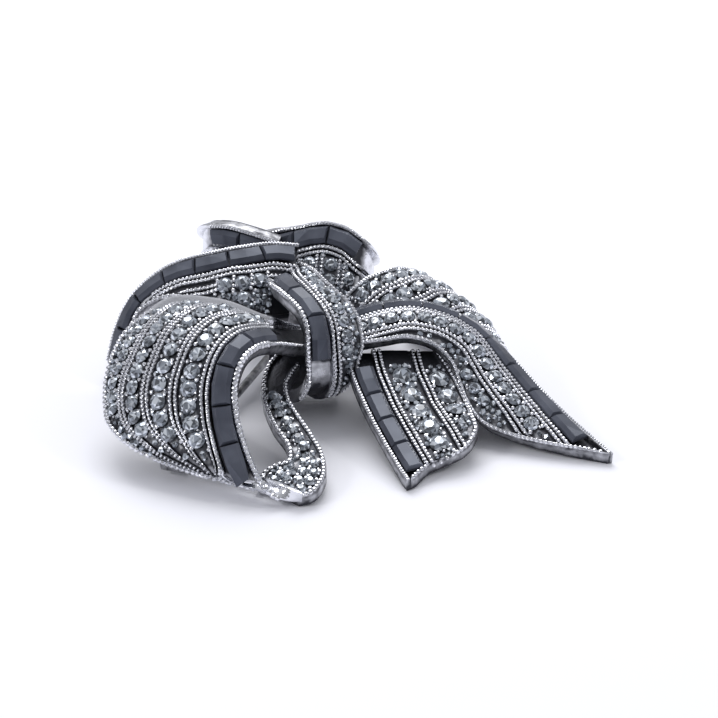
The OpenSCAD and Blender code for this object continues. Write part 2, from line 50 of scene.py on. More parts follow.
# Sizes of the cast ribbons, as in the part's source
WALL = 1.3
RIM = 0.65
RIM_TOP = 0.45
CHANNEL = 4.1
CHANNEL_FLOOR = -0.5
GROOVE_FLOOR = -0.25
SLOPE = 0.12
LEAST_SLANT = 0.66
ROW_PITCH = 4.1
SHORT_PITCH = 5
LONG_PITCH = 3.4
RIGHT_PITCH = 3.67
FOLD_FROM = 5

# Sizes of the stones
STONE_RADIUS = 0.98
STONE_PITCH = 2.2
STONE_HEIGHT = 0.8
LARGE_STONE = 1.2
FAN_STONE = 0.85

# Sizes of the fine beads along the lines, and of the grains that hold the stones
BEAD = 0.26
BEAD_PITCH = 0.56
BEAD_HEIGHT = 0.3
RIDGE = 0.37
GRAIN = 0.3
GRAIN_REACH = 0.95
GROUND_GRAIN = 0.22
CHIP = 0.42
GROUND_PITCH = 0.8
LINE_ROOM = 0.95
FLUTE_BEAD_PITCH = 0.5

# How finely the ribbons are cut along their length, the step that gives a direction on them, and
# how many beads or chips are made at a time, because operators slow down in a large mesh
SECTIONS_PER_ROW = 8
STEP = 0.02
BATCH = 60
# One seed for both, so that every run makes the same bumps, beads and chips
SEED = 4
dice = random.Random(SEED)
noise.seed_set(SEED)

# Columns of every ribbon table: the leading edge's x, y and z, the trailing edge's x, y and z,
# and how far the face bulges between them. A row is a section, from the knot outwards. The rows
# are those of the part's source, but for a few that are moved by up to 3 mm: the second to fourth
# and the last two of the front loop, the first three of its return, and the first two of the left
# loop.
FRONT_LOOP_ROWS = [
    [1.2, 0.8, 7.6, -2.4, 3.4, 10.2, 0.0],
    [-2.1, -4.0, 10.4, -7.2, -1.2, 12.7, 0.3],
    [-5.2, -9.4, 13.5, -13.2, 0.0, 14.4, 1.0],
    [-7.6, -12.8, 14.8, -20.0, 0.7, 14.3, 1.7],
    [-9.3, -15.7, 14.3, -24.8, -2.0, 12.0, 2.4],
    [-10.1, -17.8, 12.0, -26.9, -6.3, 9.2, 2.6],
    [-9.9, -19.8, 9.4, -27.3, -10.2, 6.6, 2.6],
    [-9.2, -21.6, 7.0, -26.5, -14.4, 4.9, 2.2],
    [-8.2, -23.7, 5.0, -23.2, -18.4, 3.9, 1.6],
    [-6.9, -25.4, 3.2, -16.9, -21.8, 2.9, 0.9],
    [-5.2, -26.6, 1.9, -9.4, -23.6, 1.7, 0.3],
    [-3.6, -27.0, 1.3, -5.3, -25.2, 1.5, 0.1],
    [-2.0, -27.1, 1.1, -2.9, -26.3, 1.4, 0.0],
]

FRONT_RETURN_ROWS = [
    [-2.6, -27.0, 1.2, -7.6, -22.7, 1.7, 0.0],
    [-1.0, -26.8, 1.6, -6.9, -21.7, 2.1, 0.0],
    [0.1, -25.7, 2.0, -5.7, -20.8, 2.5, 0.0],
    [1.0, -22.8, 2.5, -4.0, -20.0, 2.8, 0.0],
    [0.6, -19.0, 3.3, -4.1, -17.6, 3.6, 0.0],
    [-1.0, -15.2, 4.3, -5.8, -14.5, 4.6, 0.0],
    [-2.5, -12.4, 5.3, -7.2, -10.6, 5.7, 0.0],
    [-3.7, -10.0, 6.1, -7.5, -6.8, 6.6, 0.0],
    [-4.0, -7.0, 6.9, -6.8, -3.0, 7.6, 0.0],
    [-2.6, -3.4, 7.6, -5.2, -0.5, 8.4, 0.0],
]

LEFT_LOOP_ROWS = [
    [-3.0, 15.4, 16.4, -4.2, 6.0, 10.0, 0.3],
    [-6.8, 15.0, 16.8, -7.4, 5.0, 10.3, 0.6],
    [-10.8, 13.6, 16.9, -11.6, 5.0, 11.4, 0.6],
    [-14.8, 13.2, 16.2, -15.4, 6.6, 11.6, 0.4],
    [-18.8, 13.5, 14.9, -18.8, 7.8, 12.0, 0.2],
    [-22.1, 13.5, 12.9, -21.6, 8.5, 11.2, 0.1],
    [-25.4, 12.8, 9.8, -24.0, 8.5, 9.4, 0.1],
    [-27.5, 11.0, 6.0, -25.2, 7.4, 6.4, 0.1],
    [-28.6, 8.8, 2.2, -26.0, 5.4, 2.8, 0.0],
]

BACK_LEFT_ROWS = [
    [-5.6, 17.0, 16.4, -5.4, 17.4, 6.2, 0.0],
    [-7.2, 17.3, 16.8, -7.0, 17.8, 5.4, 0.0],
    [-9.6, 18.3, 17.2, -9.7, 18.8, 4.8, 0.0],
    [-12.3, 19.6, 17.4, -12.7, 20.0, 4.4, 0.0],
    [-14.6, 20.9, 17.0, -15.1, 21.4, 4.0, 0.0],
    [-16.2, 22.3, 16.2, -16.7, 22.9, 3.4, 0.0],
    [-16.7, 24.2, 14.6, -17.1, 24.8, 2.2, 0.0],
    [-15.4, 26.1, 12.4, -15.6, 26.7, 1.0, 0.0],
    [-12.0, 27.0, 10.4, -12.0, 27.4, 0.15, 0.0],
    [-8.0, 26.8, 9.2, -8.0, 27.2, 0.05, 0.0],
]

BACK_RIGHT_ROWS = [
    [-8.8, 21.8, 15.0, -7.8, 21.2, 8.6, 0.1],
    [-6.1, 20.8, 16.2, -5.4, 19.6, 9.4, 0.2],
    [-2.9, 20.0, 17.1, -2.9, 14.6, 10.4, 0.3],
    [0.5, 19.3, 18.0, -0.4, 12.2, 10.6, 0.2],
    [3.5, 18.8, 17.4, 1.9, 12.0, 10.2, 0.2],
    [5.8, 18.4, 15.8, 3.9, 13.6, 8.8, 0.4],
    [7.2, 19.6, 13.6, 5.8, 16.8, 6.6, 0.6],
    [7.4, 22.0, 11.0, 6.8, 20.4, 4.2, 0.5],
    [5.8, 24.6, 9.6, 6.2, 24.2, 1.6, 0.3],
    [2.4, 26.2, 9.0, 2.8, 26.6, 0.2, 0.0],
    [-2.0, 26.6, 8.8, -2.0, 27.0, 0.08, 0.0],
]

RIGHT_LOOP_ROWS = [
    [1.2, 9.8, 8.4, 2.8, 8.0, 8.0, 0.0],
    [3.6, 11.3, 11.0, 10.1, 5.6, 9.3, 0.4],
    [5.8, 12.6, 12.5, 17.5, 4.3, 8.3, 1.0],
    [8.5, 14.0, 13.0, 22.0, 4.6, 7.2, 1.35],
    [11.0, 16.2, 12.2, 24.0, 6.2, 5.4, 1.45],
    [12.8, 18.8, 9.4, 24.7, 8.6, 3.4, 1.3],
    [13.2, 20.4, 5.4, 23.6, 10.2, 1.5, 0.8],
    [12.0, 20.4, 1.6, 21.2, 11.0, 0.3, 0.3],
]

LONG_TAIL_ROWS = [
    [1.0, 5.6, 9.2, 2.0, -0.8, 8.8, 0.4],
    [4.2, 6.4, 10.4, 5.2, -1.6, 9.8, 0.9],
    [7.9, 6.5, 11.5, 8.5, -2.0, 10.5, 1.2],
    [12.1, 6.8, 11.5, 11.5, -2.0, 10.9, 1.4],
    [16.8, 6.6, 10.3, 14.6, -2.2, 10.0, 1.6],
    [20.9, 5.2, 8.6, 17.0, -3.6, 8.1, 1.8],
    [23.6, 3.0, 7.0, 18.0, -5.6, 6.2, 1.8],
    [26.2, 0.0, 5.6, 19.1, -8.3, 4.4, 1.6],
    [29.1, -3.9, 3.9, 20.9, -10.6, 3.0, 1.5],
    [32.1, -8.0, 2.6, 24.9, -12.3, 2.0, 1.0],
    [34.8, -11.8, 1.8, 29.8, -13.9, 1.6, 0.45],
    [36.5, -14.1, 1.5, 34.2, -15.0, 1.4, 0.0],
    [37.4, -15.5, 1.3, 36.8, -15.8, 1.3, 0.0],
]

SHORT_TAIL_ROWS = [
    [3.2, -0.4, 8.4, 15.4, -0.2, 8.2, 0.2],
    [4.0, -4.8, 6.9, 17.6, -4.2, 6.4, 0.2],
    [5.2, -8.4, 5.4, 19.2, -8.0, 4.6, 0.1],
    [6.6, -12.2, 4.1, 19.9, -11.4, 4.4, 0.0],
    [8.1, -15.8, 2.9, 20.2, -14.0, 3.8, 0.0],
    [9.6, -19.4, 1.9, 18.4, -17.0, 2.7, 0.0],
    [10.6, -21.8, 1.4, 14.0, -19.4, 1.8, 0.0],
    [11.0, -22.8, 1.4, 11.8, -22.2, 1.4, 0.0],
]

KNOT_ROWS = [
    [-7.0, 8.6, 13.8, -2.6, 14.0, 14.2, 0.0],
    [-6.4, 4.4, 15.2, -0.9, 9.9, 15.2, 0.2],
    [-4.9, 0.8, 15.7, 1.3, 5.3, 15.0, 0.4],
    [-2.8, -2.9, 15.3, 3.9, 2.3, 13.8, 0.5],
    [-1.9, -4.9, 13.7, 5.2, -0.5, 12.4, 0.6],
    [-1.8, -5.5, 11.3, 5.6, -1.9, 10.3, 0.6],
    [-1.7, -5.7, 8.9, 5.1, -2.8, 8.4, 0.6],
    [-1.8, -5.4, 6.2, 4.7, -3.2, 6.2, 0.5],
    [-2.8, -4.3, 3.7, 2.8, -2.8, 4.0, 0.4],
    [-4.4, -1.8, 2.0, 2.4, -0.5, 2.4, 0.2],
    [-6.2, 2.0, 1.6, 2.6, 2.6, 1.9, 0.0],
    [-6.8, 5.0, 3.4, 2.6, 5.4, 3.6, 0.0],
    [-6.8, 5.8, 6.8, 2.4, 6.0, 7.0, 0.0],
]


class Ribbon:
    """A strip swept along a table. Distances across it are square to its leading edge."""

    def __init__(self, rows, side, reach=0.0):
        """side is 1 or -1, for the side of the table that the face is on. reach is how far across
        the lines of the front loop go."""
        self.rows, self.side, self.last, self.reach = rows, side, len(rows) - 1, reach
        self.known = {}

    def row(self, s):
        """The table's row at any place s, smoothed between its rows."""
        i = max(0, min(self.last - 1, math.floor(s)))
        f = s - i
        a, b = self.rows[max(0, i - 1)], self.rows[i]
        c, d = self.rows[i + 1], self.rows[min(self.last, i + 2)]
        return [
            0.5 * (2 * q + (r - p) * f + (2 * p - 5 * q + 4 * r - t) * f * f
                   + (3 * q - p - 3 * r + t) * f * f * f)
            for p, q, r, t in zip(a, b, c, d)
        ]

    def heading(self, s):
        """The way that the leading edge runs at s."""
        after, before = self.row(min(self.last, s + STEP)), self.row(max(0, s - STEP))
        return (Vector(after[:3]) - Vector(before[:3])).normalized()

    def section(self, s):
        """Start, chord, outward way, chord length, half angle, radius, arc length and slant."""
        key = round(s, 5)
        if key not in self.known:
            row, ahead = self.row(s), self.heading(s)
            start, across = Vector(row[:3]), Vector(row[3:6]) - Vector(row[:3])
            chord, length = across.normalized(), across.length
            half = 2 * math.atan(2 * max(row[6], length / 1000) / length)
            radius = length / (2 * math.sin(half))
            square = chord.cross(ahead)
            self.known[key] = (start, chord, self.side * square.normalized(), length, half,
                               radius, 2 * radius * half, max(LEAST_SLANT, square.length))
        return self.known[key]

    def width(self, s):
        return self.section(s)[6] * self.section(s)[7]

    def point(self, s, d, h=0.0):
        """The point at s along, d across and h above the face, in millimetres."""
        start, chord, out, length, half, radius, arc, slant = self.section(s)
        turn = half * (2 * d / arc / slant - 1)
        return (start + chord * (length / 2 + (radius + h) * math.sin(turn))
                + out * ((radius + h) * math.cos(turn) - radius * math.cos(half)))

    def drawn_in(self, s, d):
        """Near the fold of the front loop its lines run together, as in the part's source."""
        if not self.reach or s < FOLD_FROM or d <= CHANNEL:
            return d
        room = self.width(s) - RIM - 2 * SLOPE - CHANNEL
        return CHANNEL + (d - CHANNEL) * min(1, max(0.02, room / (self.reach - CHANNEL)))

    def place(self, s, d, h=0.0):
        """Where a small thing sits at s and d, h above the face: its turn and place, in metres."""
        along = (self.point(s + STEP, d) - self.point(s - STEP, d)).normalized()
        across = (self.point(s, d + STEP) - self.point(s, d - STEP)).normalized()
        up = self.side * across.cross(along).normalized()
        turn = Matrix((along, up.cross(along), up)).transposed().to_4x4()
        return Matrix.Translation(metres(self.point(s, d) + up * h)) @ turn

    def spread(self, d, first, final, pitch=None, number=None):
        """Places spaced evenly along the line at d: so many of them, or as many as the pitch gives."""
        steps = 80
        fine = [first + (final - first) * i / steps for i in range(steps + 1)]
        run = [0.0]
        for a, b in zip(fine, fine[1:]):
            run.append(run[-1] + (self.point(b, self.drawn_in(b, d))
                                  - self.point(a, self.drawn_in(a, d))).length)
        number = number or max(1, math.floor(run[-1] / pitch))
        places, i = [], 0
        for k in range(number):
            aim = run[-1] * (k + 0.5) / number
            while run[i + 1] < aim:
                i += 1
            share = (aim - run[i]) / (run[i + 1] - run[i])
            places.append(fine[i] + (fine[i + 1] - fine[i]) * share)
        return places

    def stretches(self, d, room):
        """The parts of the ribbon where a line at d still has that much room to the trailing edge."""
        per_row, shortest = 10, 0.4
        found, start = [], None
        for i in range(self.last * per_row + 1):
            s = i / per_row
            fits = self.width(s) > self.drawn_in(s, d) + room
            if fits and start is None:
                start = s
            if start is not None and (not fits or i == self.last * per_row):
                if s - start > shortest:
                    found.append((start, s))
                start = None
        return found


def metres(p):
    """A point of the tables, in metres in the shared frame."""
    return (p + KNOT_PLACE) * MM


FRONT_REACH = CHANNEL + 3.5 * ROW_PITCH + 0.8
front_loop = Ribbon(FRONT_LOOP_ROWS, 1, FRONT_REACH)
front_return = Ribbon(FRONT_RETURN_ROWS, -1)
left_loop = Ribbon(LEFT_LOOP_ROWS, -1)
back_left_loop = Ribbon(BACK_LEFT_ROWS, -1)
back_right_loop = Ribbon(BACK_RIGHT_ROWS, 1)
right_loop = Ribbon(RIGHT_LOOP_ROWS, 1)
long_tail = Ribbon(LONG_TAIL_ROWS, 1)
short_tail = Ribbon(SHORT_TAIL_ROWS, -1)
knot_band = Ribbon(KNOT_ROWS, -1)


# Relief across a ribbon: distance, height above the face, and tarnish from 0, polished, to 1, black.
# The distance is from the leading edge, or in LINE_HALF from the middle of a double line.
LINE_HALF = [
    (0.1, 0.0, 0.9), (0.18, 0.24, 0.5), (RIDGE, 0.3, 0.25), (0.5, 0.24, 0.5), (0.6, 0.05, 1),
    (0.7, -0.08, 1), (0.85, -0.05, 1),
]
GROUND_TARNISH = 0.8
GROUND_STEP = 0.45


def rim_relief(rim=RIM):
    return [
        (0, 0.1, 0.75), (0.06 * rim, 0.24, 0.6), (0.2 * rim, 0.34, 0.5),
        (0.5 * rim, RIM_TOP - 0.07, 0.4),
        (0.8 * rim, 0.34, 0.5), (0.94 * rim, 0.22, 0.7), (rim, 0.05, 0.85),
    ]


def line_relief(d):
    return ([(d - e, h, t) for e, h, t in reversed(LINE_HALF)] + [(d, GROOVE_FLOOR, 1)]
            + [(d + e, h, t) for e, h, t in LINE_HALF])


def channel_relief():
    """The rim, the channel with its floor and wall, and the double line on top of the wall."""
    wall = CHANNEL - RIM
    return rim_relief() + [
        (RIM + 0.08, -0.35, 0.9), (RIM + SLOPE, CHANNEL_FLOOR, 1), (1.5, CHANNEL_FLOOR, 1),
        (2.6, CHANNEL_FLOOR, 1), (wall - SLOPE, CHANNEL_FLOOR, 1), (wall - 0.06, -0.3, 0.9),
        (wall, 0.12, 0.5), (wall + 0.1, 0.26, 0.2), (CHANNEL - RIDGE, 0.3, 0.25),
    ] + line_relief(CHANNEL)[len(LINE_HALF) - 2:]


def relief(lines, width, channel=True):
    """The whole relief of a ribbon with double lines at those distances, nowhere wider than width."""
    marks = channel_relief() if channel else rim_relief()
    for d in list(lines) + [width + 1]:
        ground = marks[-1][0] + 0.35
        line = line_relief(d)
        while ground < min(width, line[0][0] - 0.2):
            marks.append((ground, 0, GROUND_TARNISH))
            ground += GROUND_STEP
        if d < width:
            marks += line
    return marks


def grid(bm, columns, rows, place):
    """A sheet of so many faces each way, with each corner put where place says."""
    for v in bmesh.ops.create_grid(bm, x_segments=columns, y_segments=rows, size=1)["verts"]:
        v.co = place(round((v.co.x + 1) / 2 * columns), round((v.co.y + 1) / 2 * rows), v)


def strip(bm, ribbon, marks, wear=0.03, shade=None, closed=99.0, plain=0.0, fan=False, lip=None):
    """The closed metal of a ribbon, with the relief marks that fit each section.

    wear is how lumpy the metal is. shade(s, d, width) polishes it where it is above 0, up to 1, and
    blackens it with painted shade below 0. The channel's floor rises to a wall at the place closed,
    and the face has no relief, and is black with painted shade, up to the place plain. A fan has a
    flute's ridge at every row of its table. lip(s) raises the trailing rim."""
    tarnish_and_shade = bm.verts.layers.float["tarnish_and_shade"]
    rings = []
    for i in range(ribbon.last * SECTIONS_PER_ROW + 1):
        s = i / SECTIONS_PER_ROW
        width = ribbon.width(s)
        rim = min(RIM, width / 4)
        room = width - rim - SLOPE
        ring = []
        for d, h, t in marks:
            at = ribbon.drawn_in(s, d)
            if RIM < d < CHANNEL - RIM and s > closed:
                h, t = h + (BEAD_HEIGHT - h) * min(1, (s - closed) * 3), 0.35
            if s < plain and d > RIM:
                h, t = h * max(0, 1 - (plain - s) * 2), 1
            ring.append((at, h, t) if at < room else (room, 0, GROUND_TARNISH))
        lift = lip(s) if lip else 0
        trailing = [(width - d, h + lift, t) for d, h, t in reversed(rim_relief(rim))]
        under = [(width, -0.4, 0.6), (width, -0.9, 0.7)]
        under += [(width * f, -WALL, 0.95) for f in (1, 0.75, 0.5, 0.25, 0)]
        under += [(0, -0.9, 0.7), (0, -0.4, 0.6)]
        rings.append((s, width, ring + trailing + under))
    count = len(rings[0][2])

    def corner(i, j, v):
        s, width, ring = rings[i]
        d, h, t = ring[j % count]
        if fan and CHANNEL + 0.7 < d < width - RIM - SLOPE and h > -WALL:
            ridge = max(0, math.cos(s * 2 * math.pi)) ** 6
            h += RIM_TOP * ridge
            t -= 0.5 * ridge
        p = ribbon.point(s, d, h)
        if h > -WALL:
            p += wear * noise.noise_vector(p * 0.9)
        # Above 0 the shade polishes the metal, and below 0 it is painted shade that blackens it
        light = shade(s, d, width) if shade else 0
        v[tarnish_and_shade] = t * (1 - light) if light > 0 else t - (1.2 - t) * light
        return metres(p)

    grid(bm, len(rings) - 1, count, corner)
    bmesh.ops.remove_doubles(bm, verts=bm.verts, dist=0.004 * MM)
    bmesh.ops.holes_fill(bm, edges=[e for e in bm.edges if e.is_boundary], sides=0)


def add_beads(bm, beads):
    """Adds round beads, given as place, radius and dirt. Each is darker at its foot."""
    for first in range(0, len(beads), BATCH):
        batch = start_mesh()
        tarnish_and_shade = batch.verts.layers.float["tarnish_and_shade"]
        for place, radius, darkness in beads[first:first + BATCH]:
            ball = bmesh.ops.create_uvsphere(
                batch, u_segments=8, v_segments=5, radius=radius * MM, matrix=place)["verts"]
            up, middle = place.to_3x3().col[2].normalized(), place.translation
            for v in ball:
                height = (v.co - middle).dot(up) / (radius * MM)
                v[tarnish_and_shade] = max(0.0, min(1.0, darkness + 0.32 - 0.5 * height))
        merge(bm, batch)


def merge(bm, batch):
    """Moves a batch into the mesh that it belongs to."""
    part = bpy.data.meshes.new("batch")
    batch.to_mesh(part)
    batch.free()
    bm.from_mesh(part)
    bpy.data.meshes.remove(part)


def milgrain(ribbon, d, first, final, radius=BEAD, height=BEAD_HEIGHT, pitch=BEAD_PITCH):
    """A row of fine beads along the line at d, smaller where the lines run together."""
    beads = []
    for k, s in enumerate(ribbon.spread(d, first, final, pitch=pitch)):
        at = ribbon.drawn_in(s, d)
        squeezed = (ribbon.drawn_in(s, d + 1) - at) if d > CHANNEL else 1
        uneven = noise.noise_vector(Vector((s * 7, d, k * 1.7)))
        size = radius * max(0.55, min(1, squeezed + 0.15)) * (1 + 0.15 * uneven.x)
        beads.append((ribbon.place(s, at + 0.05 * uneven.y, height), size, 0.15 * uneven.z))
    return beads


def double_line(ribbon, d, first=0.0, final=99.0):
    """The two rows of fine beads of a double line, wherever the ribbon is wide enough for it."""
    beads = []
    for start, end in ribbon.stretches(d, RIM + 0.3):
        start, end = max(start, first), min(end, final)
        if end > start:
            for side in (-RIDGE, RIDGE):
                beads += milgrain(ribbon, d + side, start, end)
    return beads


def rim_beads(ribbon, radius, pitch, trailing=False, first=0.0, final=99.0):
    """Beads along the rim of the leading edge, or of the trailing one."""
    final = min(final, ribbon.last)
    height = RIM_TOP - 0.45 * radius
    if not trailing:
        return milgrain(ribbon, 0.5 * RIM, first, final, radius, height, pitch)
    inside = 0.9 * min(ribbon.width(first), ribbon.width(final))
    beads, last = [], None
    for s in ribbon.spread(inside, first, final, pitch=pitch / 3):
        rim = min(RIM, ribbon.width(s) / 4)
        place = ribbon.place(s, ribbon.width(s) - 0.5 * rim, height)
        if last is None or (place.translation - last).length > pitch * MM:
            uneven = noise.noise(Vector((s * 9, 2.2, ribbon.last)))
            beads.append((place, radius * (1 + 0.2 * uneven), 0.0))
            last = place.translation
    return beads


def grains(ribbon, line):
    """The grains of metal between the round stones of a line, on both sides of it."""
    d, first, final, radius = line
    places = ribbon.spread(d, first, final, number=2 * stones_in(ribbon, line))
    step = places[1] - places[0]
    between = [first] + [(a + b) / 2 for a, b in zip(places[1::2], places[2::2])] + [final]
    beads = []
    for s in between:
        for side in (-1, 1):
            wobble = noise.noise_vector(Vector((s * 3.1, d, side * 2.3)))
            along = max(0.0, min(ribbon.last, s + step * 0.25 * wobble.y))
            at = ribbon.drawn_in(along, d) + side * radius * GRAIN_REACH * (1 + 0.12 * wobble.x)
            if at < ribbon.width(along) - RIM * 0.6:
                beads.append((ribbon.place(along, at, 0.2), GRAIN * (1 + 0.25 * wobble.z), 0.0))
    return beads


def ground_bits(ribbon, lines, seats, start, first, final):
    """Fine grains and chips of stone over the open face from the distance start on, clear of the
    lines, the rims and the stones."""
    final = min(final, ribbon.last)
    fine, chips = [], []
    for k, s in enumerate(ribbon.spread(start + 1.0, first, final, pitch=GROUND_PITCH)):
        d = start + 0.3 * (k % 2)
        while d < ribbon.width(s) - RIM - 0.2:
            wobble = noise.noise_vector(Vector((s * 5.3, d * 2.1, k * 0.7)))
            at = d + 0.3 * wobble.x
            along = max(0.0, min(ribbon.last, s + 0.06 * wobble.y))
            free = all(abs(at - ribbon.drawn_in(along, line)) > LINE_ROOM for line in lines)
            p = ribbon.point(along, at)
            room = min([(p - middle).length - radius for middle, radius in seats] + [9])
            if free and room > 0.3:
                chips.append((ribbon.place(along, at, 0.15), CHIP * (1 + 0.5 * wobble.z)))
            elif free and room > 0.1:
                size = GROUND_GRAIN * (1 + 0.4 * wobble.z)
                fine.append((ribbon.place(along, at, 0.1), size, 0.1))
            d += GROUND_PITCH
    return fine, chips


def stones_in(ribbon, line):
    """How many round stones a line has."""
    d, first, final, radius = line
    return len(ribbon.spread(d, first, final, pitch=STONE_PITCH * radius / STONE_RADIUS))


def stone_seats(ribbon, lines):
    """Where the round stones of those lines sit: place along, distance across and radius."""
    return [(s, ribbon.drawn_in(s, line[0]), line[3]) for line in lines
            for s in ribbon.spread(line[0], line[1], line[2], number=stones_in(ribbon, line))]


def circle(bm, place, corners, radius, height, turn=0.0):
    """The corners of a ring round a stone, at a height above the face."""
    at = place @ Matrix.Translation((0, 0, height * MM)) @ Matrix.Rotation(turn, 4, "Z")
    return bmesh.ops.create_circle(bm, segments=corners, radius=radius * MM, matrix=at)["verts"]


def tip(axis, least, most):
    """A turn by chance about an axis."""
    return Matrix.Rotation(dice.uniform(least, most), 4, axis)


def add_chips(bm, chips):
    """Adds small uneven stones with flat facets."""
    for first in range(0, len(chips), BATCH):
        batch = start_mesh()
        facet = batch.faces.layers.float["facet"]
        for place, radius in chips[first:first + BATCH]:
            turned = place @ tip("Z", 0, 6) @ tip("X", 0, 6)
            bmesh.ops.create_icosphere(batch, subdivisions=1, radius=radius * MM, matrix=turned)
        # Each facet gets a painted glint at random
        for f in batch.faces:
            f[facet] = dice.random()
        merge(bm, batch)


def round_stone(bm, place, radius):
    """A brilliant with a table, stars, kites and a girdle, each facet with a painted glint."""
    stone = start_mesh()
    step = math.pi / 8
    turned = place @ tip("Z", 0, step) @ tip("X", -0.12, 0.12) @ tip("Y", -0.12, 0.12)
    corners = circle(stone, turned, 8, 0.52 * radius, STONE_HEIGHT + 0.04)
    corners += circle(stone, turned, 8, 0.84 * radius, 0.64, step)
    corners += circle(stone, turned, 16, 1.11 * radius, 0.32, step / 2)
    corners += circle(stone, turned, 8, 0.8 * radius, 0.05)
    bmesh.ops.convex_hull(stone, input=corners)
    bmesh.ops.triangulate(stone, faces=[f for f in stone.faces if len(f.verts) > 4])
    facet = stone.faces.layers.float["facet"]
    for f in stone.faces:
        f[facet] = dice.random()
    merge(bm, stone)


def start_mesh():
    """An empty mesh with tarnish and painted shade at its corners, a painted glint on each face."""
    bm = bmesh.new()
    bm.verts.layers.float.new("tarnish_and_shade")
    bm.faces.layers.float.new("facet")
    return bm


def piece(name, bm, material, replaced, smooth=30):
    """Makes the mesh an object that rides on the brooch and stands for its CAD nodes. Edges sharper
    than smooth degrees stay sharp."""
    bmesh.ops.recalc_face_normals(bm, faces=bm.faces)
    limit = math.radians(smooth)
    for f in bm.faces:
        f.smooth = smooth > 0
    for e in bm.edges:
        e.smooth = len(e.link_faces) == 2 and e.calc_face_angle(0) < limit
    mesh = bpy.data.meshes.new(name)
    bm.to_mesh(mesh)
    bm.free()
    mesh.materials.append(material)
    made = bpy.data.objects.new(name, mesh)
    bpy.context.scene.collection.objects.link(made)
    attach(made, "brooch")
    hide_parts(*replaced)


class Value:
    """A shader socket that can be used in sums."""

    def __init__(self, tree, socket):
        self.tree, self.socket = tree, socket

    def maths(self, operation, *values, clamp=False):
        made = node(self.tree, "ShaderNodeMath", {"operation": operation, "use_clamp": clamp})
        for into, value in zip(made.inputs, values):
            plug(self.tree, into, value)
        return Value(self.tree, made.outputs[0])

    def __add__(self, other):
        return self.maths("ADD", self, other)

    __radd__ = __add__

    def __sub__(self, other):
        return self.maths("SUBTRACT", self, other)

    def __rsub__(self, other):
        return self.maths("SUBTRACT", other, self)

    def __mul__(self, other):
        return self.maths("MULTIPLY", self, other)

    __rmul__ = __mul__

    def clamped(self):
        return self.maths("ADD", self, 0.0, clamp=True)


def plug(tree, into, value):
    """Links a Value to a socket, or sets a plain one on it."""
    if isinstance(value, Value):
        tree.links.new(value.socket, into)
    else:
        into.default_value = value


def node(tree, kind, settings=None, **values):
    """A node of a type, with its settings and with values or links for its named sockets."""
    made = tree.nodes.new(kind)
    for key, setting in (settings or {}).items():
        setattr(made, key, setting)
    for key, value in values.items():
        plug(tree, made.inputs[key.replace("_", " ")], value)
    return made


def new_material(name, **constants):
    """A Principled material with constants set on its own sockets. Returns it, its tree and shader."""
    made = bpy.data.materials.new(name)
    made.use_nodes = True
    shader = made.node_tree.nodes["Principled BSDF"]
    for key, value in constants.items():
        shader.inputs[key.replace("_", " ")].default_value = value
    return made, made.node_tree, shader


def mixed(tree, share, first, second):
    """The first colour where share is 0, and the second where it is 1."""
    made = node(tree, "ShaderNodeMix", {"data_type": "RGBA"})
    for into, value in (("Factor", share), (6, first), (7, second)):
        plug(tree, made.inputs[into], value)
    return Value(tree, made.outputs[2])


def grain_noise(tree, scale, detail=2.0):
    """Noise over the object, about 0.5 on average."""
    place = Value(tree, node(tree, "ShaderNodeTexCoord").outputs["Object"])
    made = node(tree, "ShaderNodeTexNoise", Vector=place, Scale=scale, Detail=detail)
    return Value(tree, made.outputs["Fac"])


def attribute(tree, name):
    return Value(tree, node(tree, "ShaderNodeAttribute", {"attribute_name": name}).outputs["Fac"])


def oxidised_silver():
    """Polished where it stands up, black in the low places, and finely pitted."""
    made, tree, shader = new_material("oxidised silver", Metallic=1.0)
    patches = grain_noise(tree, 900.0, 4.0)
    # Patina of the low places and random patches, with the painted shade that the ribbons' shade
    # functions put near the knot
    darkness = ((attribute(tree, "tarnish_and_shade") + (patches - 0.5) * 0.7 - 0.3) * 1.9).clamped()
    plug(tree, shader.inputs["Base Color"],
         mixed(tree, darkness, (0.74, 0.75, 0.8, 1), (0.045, 0.046, 0.054, 1)))
    plug(tree, shader.inputs["Roughness"], 0.17 + darkness * 0.3)
    pits = grain_noise(tree, 2600.0)
    bump = node(tree, "ShaderNodeBump", Strength=0.45, Distance=0.12 * MM, Height=pits)
    plug(tree, shader.inputs["Normal"], Value(tree, bump.outputs["Normal"]))
    return made


def pin_silver():
    """The duller, greyer silver of the pin and its hinge."""
    made, tree, shader = new_material("pin silver", Metallic=1.0)
    patches = grain_noise(tree, 900.0, 3.0)
    plug(tree, shader.inputs["Base Color"],
         mixed(tree, ((patches - 0.35) * 3.0).clamped(), (0.16, 0.16, 0.17, 1), (0.45, 0.45, 0.47, 1)))
    plug(tree, shader.inputs["Roughness"], 0.25 + patches * 0.2)
    return made


def black_stone():
    """Clouded blue-black stone with a soft blue shine."""
    made, tree, shader = new_material(
        "black stone", Roughness=0.24, IOR=1.4, Specular_Tint=(0.72, 0.8, 1, 1))
    cloud = grain_noise(tree, 260.0, 2.0)
    plug(tree, shader.inputs["Base Color"],
         mixed(tree, ((cloud - 0.3) * 2.5).clamped(), (0.034, 0.037, 0.05, 1), (0.07, 0.076, 0.098, 1)))
    return made


def grey_stone():
    """Steely stones, each facet painted dark, grey or bright at random as a painted reflection."""
    made, tree, shader = new_material("grey stone", Roughness=0.07, IOR=1.8)
    light = attribute(tree, "facet")
    dull = mixed(tree, ((light - 0.2) * 3.0).clamped(), (0.055, 0.062, 0.075, 1), (0.3, 0.335, 0.395, 1))
    plug(tree, shader.inputs["Base Color"],
         mixed(tree, ((light - 0.66) * 5.0).clamped(), dull, (0.72, 0.77, 0.84, 1)))
    plug(tree, shader.inputs["Metallic"], 0.35 + light * 0.3)
    return made


SILVER, PIN_SILVER, BLACK, GREY = oxidised_silver(), pin_silver(), black_stone(), grey_stone()

